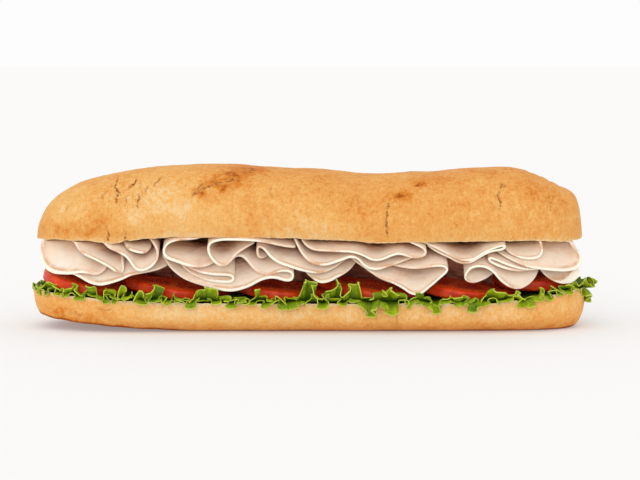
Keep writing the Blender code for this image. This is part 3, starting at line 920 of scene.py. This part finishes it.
def lettuce_leaf(name, node, frill, start, end, seed, finish):
    """A leaf along the rim from one distance to another, lying inside, frilled outside."""
    columns = round((end - start) / LEAF_STEP)
    rows = FRILL_ROWS + LYING_ROWS
    lift = 0.3 if frill is STANDING_FRILL else 0.0
    bm = bmesh.new()
    bmesh.ops.create_grid(bm, x_segments=columns, y_segments=rows, size=1.0)
    out = []
    for vert in bm.verts:
        column = round((vert.co.x + 1) / 2 * columns)
        row = round((vert.co.y + 1) / 2 * rows)
        distance = mixed(start, end, column / columns)
        if row < LYING_ROWS:
            vert.co = lying_point(distance, 1 - row / LYING_ROWS)
            out.append(0.0)
        else:
            share = (row - LYING_ROWS) / FRILL_ROWS
            vert.co = frill_point(frill, distance, share, seed)
            out.append(share)
        vert.co.z += lift
    bmesh.ops.recalc_face_normals(bm, faces=bm.faces)
    piece = finished(name, bm, finish, slot="lettuce", nodes=(node,), out=out)
    wall = piece.modifiers.new("thickness", "SOLIDIFY")
    wall.thickness = LEAF_THICKNESS * MM
    wall.offset = 0.0
    return piece


# ---------------------------------------------------------------- finishes
class Finish:
    """A material under construction: nodes are added by name and wired as they come."""

    def __init__(self, name):
        self.material = bpy.data.materials.new(name)
        self.material.use_nodes = True
        self.tree = self.material.node_tree
        self.shader = self.tree.nodes["Principled BSDF"]
        self.coordinates = self.add("ShaderNodeTexCoord").outputs["Object"]

    def add(self, kind, **settings):
        node = self.tree.nodes.new(kind)
        for setting, value in settings.items():
            setattr(node, setting, value)
        return node

    def wire(self, source, target):
        self.tree.links.new(source, target)

    def feed(self, node, **inputs):
        """Gives a node's inputs their values or wires, by input name."""
        for name, value in inputs.items():
            socket = node.inputs[name.replace("_", " ")]
            if isinstance(value, bpy.types.NodeSocket):
                self.wire(value, socket)
            else:
                socket.default_value = value

    def noise(self, size, detail=3.0, roughness=0.55, stretch=(1, 1, 1), distortion=0.0):
        """Noise whose lumps are about size millimetres across."""
        node = self.add("ShaderNodeTexNoise")
        mapping = self.add("ShaderNodeMapping")
        self.feed(mapping, Vector=self.coordinates, Scale=tuple(1 / s for s in stretch))
        self.feed(
            node, Vector=mapping.outputs["Vector"], Scale=1 / (size * MM), Detail=detail,
            Roughness=roughness, Distortion=distortion,
        )
        return node.outputs["Fac"]

    def attribute(self, name):
        return self.add("ShaderNodeAttribute", attribute_name=name).outputs["Fac"]

    def maths(self, operation, first, second=0.0, third=0.0):
        node = self.add("ShaderNodeMath", operation=operation)
        for socket, value in zip(node.inputs, (first, second, third)):
            if isinstance(value, bpy.types.NodeSocket):
                self.wire(value, socket)
            else:
                socket.default_value = value
        return node.outputs["Value"]

    def ramp(self, factor, *stops, smooth=True):
        """A colour ramp; each stop is (place, colour)."""
        node = self.add("ShaderNodeValToRGB")
        band = node.color_ramp
        band.interpolation = "EASE" if smooth else "LINEAR"
        while len(band.elements) < len(stops):
            band.elements.new(0.5)
        for element, (place, colour) in zip(band.elements, stops):
            element.position = place
            element.color = (*colour, 1.0)
        self.wire(factor, node.inputs["Fac"])
        return node.outputs["Color"]

    def span(self, value, low, high, to_low=0.0, to_high=1.0):
        """A value brought from one range to another, and held there."""
        node = self.add("ShaderNodeMapRange", interpolation_type="SMOOTHSTEP")
        node.inputs["From Min"].default_value = low
        node.inputs["From Max"].default_value = high
        node.inputs["To Min"].default_value = to_low
        node.inputs["To Max"].default_value = to_high
        self.wire(value, node.inputs["Value"])
        return node.outputs["Result"]

    def blend(self, factor, first, second, kind="MIX"):
        node = self.add("ShaderNodeMix", data_type="RGBA", blend_type=kind)
        for name, value in (("Factor_Float", factor), ("A_Color", first), ("B_Color", second)):
            socket = next(s for s in node.inputs if s.identifier == name)
            if isinstance(value, bpy.types.NodeSocket):
                self.wire(value, socket)
            else:
                socket.default_value = value if isinstance(value, float) else (*value, 1.0)
        return next(s for s in node.outputs if s.identifier == "Result_Color")

    def crazing(self, size, width):
        """Fine lines between cells about size millimetres across."""
        warp = self.add("ShaderNodeVectorMath", operation="MULTIPLY_ADD")
        drift = self.add("ShaderNodeTexNoise")
        self.feed(drift, Vector=self.coordinates, Scale=1 / (2.2 * MM), Detail=3.0)
        self.wire(drift.outputs["Color"], warp.inputs[0])
        warp.inputs[1].default_value = (0.004, 0.004, 0.004)
        self.wire(self.coordinates, warp.inputs[2])
        edges = self.add("ShaderNodeTexVoronoi", feature="DISTANCE_TO_EDGE")
        self.feed(edges, Vector=warp.outputs["Vector"], Scale=1 / (size * MM))
        return self.span(edges.outputs["Distance"], 0.0, width, 1.0, 0.0)

    def bumps(self, *heights):
        """Bumps one over another; each is (height, depth in millimetres)."""
        normal = None
        for height, depth in heights:
            node = self.add("ShaderNodeBump")
            self.feed(node, Height=height, Distance=depth * MM, Strength=1.0)
            if normal:
                self.wire(normal, node.inputs["Normal"])
            normal = node.outputs["Normal"]
        self.wire(normal, self.shader.inputs["Normal"])

    def surface(self, **inputs):
        self.feed(self.shader, **inputs)


CREAM_CRUST = (0.90, 0.60, 0.28)
LIGHT_GOLD = (0.88, 0.48, 0.15)
GOLD = (0.83, 0.385, 0.10)
AMBER = (0.70, 0.23, 0.03)
BROWN = (0.36, 0.08, 0.004)
SPLIT_BROWN = (0.27, 0.06, 0.002)
CRUMB = (0.90, 0.72, 0.45)
CRUMB_SHADE = (0.80, 0.55, 0.27)


def bread_finish(name, painted_shade_lightness):
    """Baked crust, golden to brown as it toasts, and pale crumb where the roll is cut."""
    crust = Finish(name)
    broad = crust.noise(24, 3)
    patchy = crust.noise(6.0, 5, 0.62, distortion=0.8)
    flecks = crust.noise(2.0, 4, 0.65, distortion=0.4)
    fine = crust.noise(0.9, 3, 0.6)
    pulled = crust.noise(1.5, 3, 0.6, stretch=(1, 1, 6))
    shade = crust.attribute("toast")
    for tone, amount in ((broad, 0.36), (patchy, 0.36), (flecks, 0.46), (fine, 0.42), (pulled, 0.3)):
        shade = crust.maths("ADD", shade, crust.maths("MULTIPLY_ADD", tone, amount, -amount / 2))
    colour = crust.ramp(
        shade, (0.20, CREAM_CRUST), (0.38, LIGHT_GOLD), (0.52, GOLD), (0.74, AMBER), (0.98, BROWN)
    )
    wander = crust.maths("MULTIPLY_ADD", crust.noise(1.4, 2, 0.5), 2.2, -1.1)
    # Painted shade: the crust's colour is scaled down evenly, so one copy can be drawn darker than its
    # twin
    colour = crust.blend(1.0, colour, (painted_shade_lightness, painted_shade_lightness, painted_shade_lightness), kind="MULTIPLY")
    beside = crust.maths("ABSOLUTE", crust.maths("ADD", crust.attribute("split"), wander))
    depth = crust.attribute("split_depth")
    broken = crust.span(crust.noise(1.9, 2), 0.38, 0.55, 0.25, 1.0)
    line = crust.maths("MULTIPLY", crust.span(beside, 0.2, 0.95, 1.0, 0.0), depth)
    line = crust.maths("MULTIPLY", line, broken)
    lip = crust.maths("MULTIPLY", crust.span(beside, 0.5, 1.3, 0.5, 0.0), depth)
    crazing = crust.crazing(3.4, 0.07)
    crazing = crust.maths("MULTIPLY", crazing, crust.attribute("crazed"))
    crazing = crust.maths("MULTIPLY", crazing, crust.span(flecks, 0.42, 0.58))
    pits = crust.maths("MULTIPLY", crust.span(crust.noise(1.7, 2, 0.5), 0.60, 0.68), 0.7)
    pits = crust.maths("MULTIPLY", pits, crust.attribute("crazed"))
    colour = crust.blend(lip, colour, LIGHT_GOLD)
    colour = crust.blend(crazing, colour, AMBER)
    colour = crust.blend(pits, colour, AMBER)
    colour = crust.blend(line, colour, SPLIT_BROWN)
    crumb = crust.blend(crust.span(crust.noise(1.6, 3), 0.35, 0.65), CRUMB_SHADE, CRUMB)
    colour = crust.blend(crust.attribute("crumb"), colour, crumb)
    crust.bumps((patchy, 0.7), (pulled, 0.5), (flecks, 0.6), (fine, 0.26))
    crust.surface(
        Base_Color=colour,
        Roughness=crust.span(shade, 0.2, 0.9, 0.66, 0.50),
        Specular_IOR_Level=0.05,
    )
    return crust.material


MEAT_RIM = (0.94, 0.86, 0.71)
# Painted shade, with some browned skin: the thin tan line just inside each cut rim
RIM_SHADE_AND_SKIN = (0.62, 0.33, 0.15)
# Painted shade: the warm dark browns the meat is drawn with deep inside the pack
MEAT_IN_PAINTED_SHADE = (0.62, 0.33, 0.20)
MEAT_IN_DEEPEST_PAINTED_SHADE = (0.26, 0.06, 0.025)


def turkey_finish():
    """Cooked breast: pale and faintly pink, with a creamy cut rim, a thin tan line of painted shade
    with some browned skin beside it, and painted shade deeper inside the pack.
    """
    meat = Finish("turkey_breast")
    cloudy = meat.noise(11, 3)
    fibre = meat.noise(2.2, 4, 0.6, stretch=(2.2, 1, 1))
    fine = meat.noise(0.9, 3)
    tone = meat.maths("MULTIPLY_ADD", fibre, 0.45, meat.maths("MULTIPLY", cloudy, 0.55))
    colour = meat.ramp(
        tone, (0.30, (0.80, 0.56, 0.41)), (0.5, (0.87, 0.70, 0.55)), (0.70, (0.90, 0.78, 0.67))
    )
    edge = meat.maths("ADD", meat.attribute("edge"), meat.maths("MULTIPLY_ADD", fine, 0.8, -0.4))
    # Painted shade: away from its rims the meat is drawn darker, in warm browns mottled darker still
    shade_mottle = meat.noise(3.6, 3, 0.5, stretch=(4, 4, 1), distortion=1.2)
    painted_shade = meat.blend(meat.span(shade_mottle, 0.40, 0.62), MEAT_IN_DEEPEST_PAINTED_SHADE, MEAT_IN_PAINTED_SHADE)
    colour = meat.blend(meat.span(edge, 3.0, 18.0, 0.0, 0.9), colour, painted_shade)
    # Painted shade, with some browned skin: a thin tan line just inside each cut rim, patchy along it
    rim_shade_and_skin = meat.maths("MULTIPLY", meat.span(edge, 0.3, 0.6), meat.span(edge, 0.7, 1.9, 1.0, 0.0))
    rim_shade_and_skin = meat.maths("MULTIPLY", rim_shade_and_skin, meat.span(cloudy, 0.38, 0.60, 0.2, 0.8))
    colour = meat.blend(rim_shade_and_skin, colour, RIM_SHADE_AND_SKIN)
    colour = meat.blend(meat.span(edge, 0.15, 0.5, 1.0, 0.0), colour, MEAT_RIM)
    meat.bumps((fibre, 0.10), (fine, 0.05))
    meat.surface(
        Base_Color=colour,
        Roughness=meat.span(fibre, 0.3, 0.7, 0.42, 0.55),
        Specular_IOR_Level=0.35,
        Subsurface_Weight=0.2,
        Subsurface_Radius=(1.0, 0.45, 0.25),
        Subsurface_Scale=0.0015,
    )
    return meat.material


def tomato_finish():
    """Glossy skin round wet flesh, the flesh its own red pushed near full brightness as painted light,
    with darker jelly in the pockets.
    """
    tomato = Finish("ripe_tomato")
    cloudy = tomato.noise(7, 3)
    fine = tomato.noise(1.2, 3, 0.6)
    skin = tomato.ramp(cloudy, (0.3, (0.56, 0.022, 0.003)), (0.7, (0.82, 0.07, 0.006)))
    # Painted light: the flesh is drawn near full brightness, since the pack above keeps light off the
    # slices' faces
    flesh = tomato.ramp(fine, (0.3, (0.90, 0.06, 0.006)), (0.7, (0.98, 0.15, 0.014)))
    colour = tomato.blend(tomato.attribute("flesh"), skin, flesh)
    seed = tomato.span(tomato.noise(2.4, 1, 0.5), 0.62, 0.68)
    jelly = tomato.blend(seed, (0.74, 0.04, 0.006), (0.92, 0.26, 0.05))
    colour = tomato.blend(tomato.attribute("pocket"), colour, jelly)
    tomato.bumps((cloudy, 0.12), (fine, 0.08))
    tomato.surface(
        Base_Color=colour,
        Roughness=tomato.span(fine, 0.35, 0.65, 0.22, 0.40),
        Specular_IOR_Level=0.25,
        Subsurface_Weight=0.12,
        Subsurface_Radius=(1.0, 0.2, 0.08),
        Subsurface_Scale=0.0015,
    )
    return tomato.material


def lettuce_finish():
    """Leaf green, drawn darker towards the inside as painted shade, and paler along its ruffled edge.
    """
    leaf = Finish("green_lettuce")
    cloudy = leaf.noise(9, 3)
    veins = leaf.noise(2.6, 3, 0.6, distortion=1.5)
    fine = leaf.noise(0.8, 2)
    out = leaf.attribute("out")
    green = leaf.ramp(
        cloudy, (0.3, (0.08, 0.16, 0.001)), (0.5, (0.18, 0.27, 0.002)), (0.7, (0.35, 0.43, 0.003))
    )
    ridge = leaf.span(veins, 0.50, 0.60)
    colour = leaf.blend(leaf.maths("MULTIPLY", ridge, 0.35), green, (0.42, 0.50, 0.008))
    # Painted shade: the leaf is drawn dark green towards its inside, under the bread
    shaded = leaf.span(out, 0.2, 0.85, 0.9, 0.0)
    colour = leaf.blend(shaded, colour, (0.03, 0.08, 0.001))
    colour = leaf.blend(leaf.span(out, 0.91, 0.99, 0.0, 0.85), colour, (0.62, 0.70, 0.08))
    leaf.bumps((veins, 0.35), (fine, 0.08))
    leaf.surface(
        Base_Color=colour,
        Roughness=leaf.span(cloudy, 0.3, 0.7, 0.38, 0.5),
        Specular_IOR_Level=0.14,
        Subsurface_Weight=0.2,
        Subsurface_Radius=(0.6, 1.0, 0.05),
        Subsurface_Scale=0.0008,
    )
    return leaf.material


def floor_finish():
    floor = Finish("pale_floor")
    floor.surface(
        Base_Color=(0.66, 0.652, 0.648, 1.0), Roughness=1.0, Specular_IOR_Level=0.0,
        Emission_Color=(1, 0.99, 0.985, 1), Emission_Strength=0.245,
    )
    return floor.material


# ---------------------------------------------------------------- the set
WHITE = 0.98  # how bright the empty room is
CAMERA_ELEVATION = 5.0
CAMERA_DISTANCE = 1.101
AIM = Vector((0.00575, -0.042, 0.0507))
LENS = 116.4


def set_camera():
    lens = bpy.data.cameras.new("camera")
    lens.lens = LENS
    lens.sensor_width = 36.0
    camera = bpy.data.objects.new("camera", lens)
    bpy.context.scene.collection.objects.link(camera)
    lift = math.radians(CAMERA_ELEVATION)
    back = Vector((0, -math.cos(lift), math.sin(lift)))
    camera.location = AIM + back * CAMERA_DISTANCE
    camera.rotation_euler = (math.pi / 2 - lift, 0, 0)
    bpy.context.scene.camera = camera


def soft_sun(name, toward, strength, spread):
    """A broad, even light falling in the given direction."""
    lamp = bpy.data.lights.new(name, "SUN")
    lamp.energy = strength
    lamp.angle = math.radians(spread)
    light = bpy.data.objects.new(name, lamp)
    bpy.context.scene.collection.objects.link(light)
    light.rotation_euler = Vector(toward).to_track_quat("-Z", "Y").to_euler()


def set_light():
    world = bpy.data.worlds.new("studio")
    bpy.context.scene.world = world
    world.use_nodes = True
    background = world.node_tree.nodes["Background"]
    background.inputs["Color"].default_value = (1, 1, 1, 1)
    background.inputs["Strength"].default_value = WHITE
    soft_sun("key", (0.45, 0.75, -0.95), 0.28, 50)
    soft_sun("fill", (0.1, 1.0, -0.3), 0.50, 34)


def set_floor():
    """A wide pale floor, which glows a little so that far off it is as white as the room."""
    bm = bmesh.new()
    bmesh.ops.create_grid(bm, x_segments=1, y_segments=1, size=40.0)
    mesh = bpy.data.meshes.new("floor")
    bm.to_mesh(mesh)
    bm.free()
    mesh.materials.append(floor_finish())
    floor = bpy.data.objects.new("floor", mesh)
    bpy.context.scene.collection.objects.link(floor)


# ---------------------------------------------------------------- the sandwich
def dress_sandwich():
    # Painted shade: the top half's crust is a darker copy of the bottom half's, held down where it is
    # more brightly lit
    top_bread_with_painted_shade = bread_finish("top_crust", 0.93)
    bottom_bread = bread_finish("bottom_crust", 1.0)
    turkey = turkey_finish()
    tomato = tomato_finish()
    lettuce = lettuce_finish()
    bun_half(
        "bun_top_crust", "bun_top", ROLL_HALF, upper_section, lambda x, y: upper_cut_height(x),
        top_relief, top_toast_and_painted_light, (TOP_SPLITS, TOP_PATCHES, TOP_CRAZING), (0.1, 0.7),
        top_bread_with_painted_shade,
    )
    bun_half(
        "bun_bottom_crust", "bun_bottom", LOWER_HALF, lower_section, lower_cut_height,
        bottom_relief, bottom_toast_and_painted_light, (BOTTOM_SPLITS, BOTTOM_PATCHES, BOTTOM_CRAZING),
        (0.5, 1.8), bottom_bread,
    )
    for number, sizes in enumerate(TOMATOES, start=1):
        tomato_slice(number, *sizes, tomato)
    for name, (rim, corners) in SLICES.items():
        turkey_slice(name, rim, corners, turkey)
    first, second = (distance_of(x) for x in LEAF_ENDS)
    around = 2 * FRONT_LENGTH
    stretches = (
        ("lettuce_left_leaf", "lettuce_left", -first, first),
        ("lettuce_middle_leaf_front", "lettuce_middle", first, second),
        ("lettuce_middle_leaf_back", "lettuce_middle", around - second, around - first),
        ("lettuce_right_leaf", "lettuce_right", second, around - second),
    )
    for seed, (name, node, start, end) in enumerate(stretches):
        lettuce_leaf(name, node, HANGING_FRILL, start, end, seed, lettuce)
        lettuce_leaf(name + "_inner", node, STANDING_FRILL, start, end, seed + 10, lettuce)


def main():
    bpy.context.scene.view_settings.view_transform = "Standard"
    dress_sandwich()
    set_floor()
    set_camera()
    set_light()


main()
